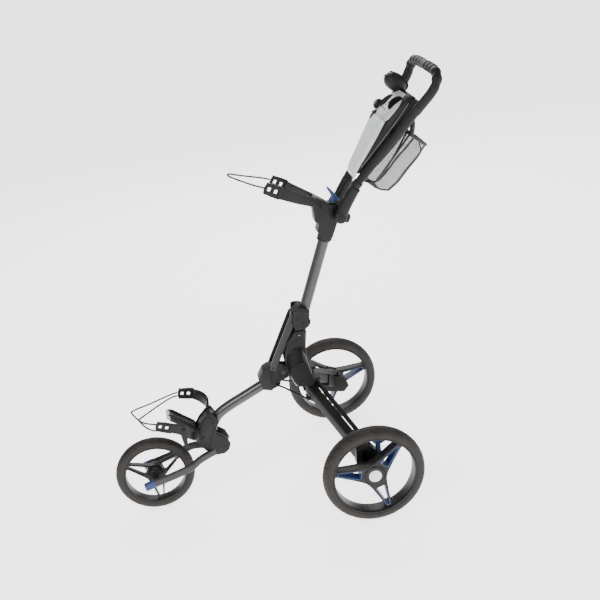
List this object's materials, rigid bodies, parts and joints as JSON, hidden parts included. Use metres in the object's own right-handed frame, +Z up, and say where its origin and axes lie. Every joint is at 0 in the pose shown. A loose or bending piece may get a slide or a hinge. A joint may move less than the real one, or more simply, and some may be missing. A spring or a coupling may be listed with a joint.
{
  "type": "golf push trolley",
  "caption": "Three-wheeled folding golf push trolley with bag cradles, score console, net bag and spoked wheels with blue trims.",
  "frame": {"origin": "bottom centre of the bounding box, on the ground", "axes": "+Z up, the front wheel and bag side towards -Y, the handle towards +Y, +X to the side of the brake pedal"},
  "size_m": [0.636, 1.0776, 1.1881],
  "materials": {
    "black": "satin",
    "graphite": "satin anodised",
    "tyre": "matte",
    "blue": "satin",
    "steel": "satin",
    "silver": "satin",
    "frosted": "frosted",
    "cord": "woven",
    "grip": "matte"
  },
  "bodies": {
    "center": {"body_core": "black", "body_plate_near": "black", "body_plate_far": "black", "rear_cover_strip": "graphite", "main_pivot_pin": "steel", "front_pivot_pin": "steel"},
    "mast": {"mast_collar": "black", "mast_tube": "graphite", "cradle_housing": "black", "upper_arm_near": "black", "upper_arm_far": "black", "upper_cord": "cord"},
    "struts_near": {"fold_strut_near": "graphite"},
    "struts_far": {"fold_strut_far": "graphite"},
    "clamp_knob": {"mast_knob": "black"},
    "lever": {"clamp_lever": "blue"},
    "handle": {"handle_tube_near": "graphite", "handle_tube_far": "graphite", "handle_grip": "grip", "handle_socket_near": "black", "handle_socket_far": "black", "console_body": "black", "net_bag": "cord"},
    "lid": {"score_lid": "frosted"},
    "umbrella": {"umbrella_holder": "black"},
    "dial": {"console_knob": "black"},
    "front_frame": {"front_socket": "black", "front_tube": "graphite", "lower_bracket": "black", "fork_bar": "graphite", "fork_cap_near": "blue", "fork_cap_far": "blue", "front_axle": "steel", "lower_arm_near": "black", "lower_arm_far": "black", "bag_rest": "black", "lower_cord_a": "cord", "lower_cord_b": "cord"},
    "front_wheel": {"front_tyre": "tyre", "front_rim": "black"},
    "pedal": {"brake_pedal": "blue"},
    "leg_near": {"leg_tube_near": "black"},
    "link_near": {"leg_bar_near": "graphite"},
    "hub_near": {"hub_block_near": "black", "rear_axle_near": "steel"},
    "catch_near": {"wheel_catch_near": "blue"},
    "wheel_near": {"rear_tyre_near": "tyre", "rear_rim_near": "black", "hub_cap_near": "silver"},
    "leg_far": {"leg_tube_far": "black"},
    "link_far": {"leg_bar_far": "graphite"},
    "hub_far": {"hub_block_far": "black", "rear_axle_far": "steel"},
    "catch_far": {"wheel_catch_far": "blue"},
    "wheel_far": {"rear_tyre_far": "tyre", "rear_rim_far": "black", "hub_cap_far": "silver"}
  },
  "joints": [
    {"name": "main_fold", "type": "hinge", "parent": "center", "child": "mast", "pos_m": [0, 0.0902, 0.512], "axis": [1, 0, 0], "range_deg": [0, 60]},
    {"name": "front_fold", "type": "hinge", "parent": "center", "child": "front_frame", "pos_m": [0, 0.0082, 0.365], "axis": [1, 0, 0], "range_deg": [0, 60]},
    {"name": "strut_swing_near", "type": "hinge", "parent": "mast", "child": "struts_near", "pos_m": [0.02, 0.0632, 0.535], "axis": [1, 0, 0], "range_deg": [-60, 0]},
    {"name": "leg_swing_near", "type": "hinge", "parent": "center", "child": "leg_near", "pos_m": [0.04, 0.0762, 0.312], "axis": [0, 0, 1], "range_deg": [0, 12]},
    {"name": "link_swing_near", "type": "hinge", "parent": "center", "child": "link_near", "pos_m": [0.04, 0.1002, 0.326], "axis": [0, 0, 1], "range_deg": [0, 12]},
    {"name": "hub_swing_near", "type": "hinge", "parent": "leg_near", "child": "hub_near", "pos_m": [0.24, 0.1762, 0.176], "axis": [0, 0, 1], "range_deg": [-12, 0]},
    {"name": "wheel_spin_near", "type": "hinge", "parent": "hub_near", "child": "wheel_near", "pos_m": [0.295, 0.1882, 0.145], "axis": [1, 0, 0], "continuous": true},
    {"name": "catch_slide_near", "type": "slide", "parent": "hub_near", "child": "catch_near", "axis": [1, 0, 0], "range_m": [-0.006, 0], "stiffness_N_per_m": 300},
    {"name": "strut_swing_far", "type": "hinge", "parent": "mast", "child": "struts_far", "pos_m": [-0.02, 0.0632, 0.535], "axis": [1, 0, 0], "range_deg": [-60, 0]},
    {"name": "leg_swing_far", "type": "hinge", "parent": "center", "child": "leg_far", "pos_m": [-0.04, 0.0762, 0.312], "axis": [0, 0, 1], "range_deg": [-12, 0]},
    {"name": "link_swing_far", "type": "hinge", "parent": "center", "child": "link_far", "pos_m": [-0.04, 0.1002, 0.326], "axis": [0, 0, 1], "range_deg": [-12, 0]},
    {"name": "hub_swing_far", "type": "hinge", "parent": "leg_far", "child": "hub_far", "pos_m": [-0.24, 0.1762, 0.176], "axis": [0, 0, 1], "range_deg": [0, 12]},
    {"name": "wheel_spin_far", "type": "hinge", "parent": "hub_far", "child": "wheel_far", "pos_m": [-0.295, 0.1882, 0.145], "axis": [1, 0, 0], "continuous": true},
    {"name": "catch_slide_far", "type": "slide", "parent": "hub_far", "child": "catch_far", "axis": [1, 0, 0], "range_m": [0, 0.006], "stiffness_N_per_m": 300},
    {"name": "brake_rock", "type": "hinge", "parent": "hub_near", "child": "pedal", "pos_m": [0.245, 0.2182, 0.167], "axis": [1, 0, 0], "range_deg": [-15, 0]},
    {"name": "front_wheel_spin", "type": "hinge", "parent": "front_frame", "child": "front_wheel", "pos_m": [0, -0.4198, 0.1175], "axis": [1, 0, 0], "continuous": true},
    {"name": "clamp_turn", "type": "hinge", "parent": "mast", "child": "clamp_knob", "pos_m": [0, 0.2322, 0.804], "axis": [0, 0.9181, -0.3964], "range_deg": [-180, 180]},
    {"name": "lever_swing", "type": "hinge", "parent": "mast", "child": "lever", "pos_m": [0, 0.2422, 0.852], "axis": [1, 0, 0], "range_deg": [-70, 0]},
    {"name": "handle_fold", "type": "hinge", "parent": "mast", "child": "handle", "pos_m": [0, 0.2362, 0.812], "axis": [1, 0, 0], "range_deg": [-120, 0]},
    {"name": "lid_open", "type": "hinge", "parent": "handle", "child": "lid", "pos_m": [0, 0.2886, 0.91984], "axis": [1, 0, 0], "range_deg": [0, 100]},
    {"name": "umbrella_swivel", "type": "hinge", "parent": "handle", "child": "umbrella", "pos_m": [-0.046, 0.43421, 1.08756], "axis": [0, 0.6791, 0.7341], "range_deg": [-90, 90]},
    {"name": "dial_turn", "type": "hinge", "parent": "handle", "child": "dial", "pos_m": [-0.048, 0.41384, 1.06554], "axis": [0, -0.7341, 0.6791], "range_deg": [-180, 180]}
  ],
  "couplings": [
    {"joint": "front_fold", "follows": "main_fold", "ratio": 1},
    {"joint": "strut_swing_near", "follows": "main_fold", "ratio": -1},
    {"joint": "strut_swing_far", "follows": "main_fold", "ratio": -1},
    {"joint": "leg_swing_near", "follows": "main_fold", "ratio": 0.2},
    {"joint": "leg_swing_far", "follows": "main_fold", "ratio": -0.2},
    {"joint": "link_swing_near", "follows": "main_fold", "ratio": 0.2},
    {"joint": "link_swing_far", "follows": "main_fold", "ratio": -0.2},
    {"joint": "hub_swing_near", "follows": "main_fold", "ratio": -0.2},
    {"joint": "hub_swing_far", "follows": "main_fold", "ratio": 0.2}
  ]
}
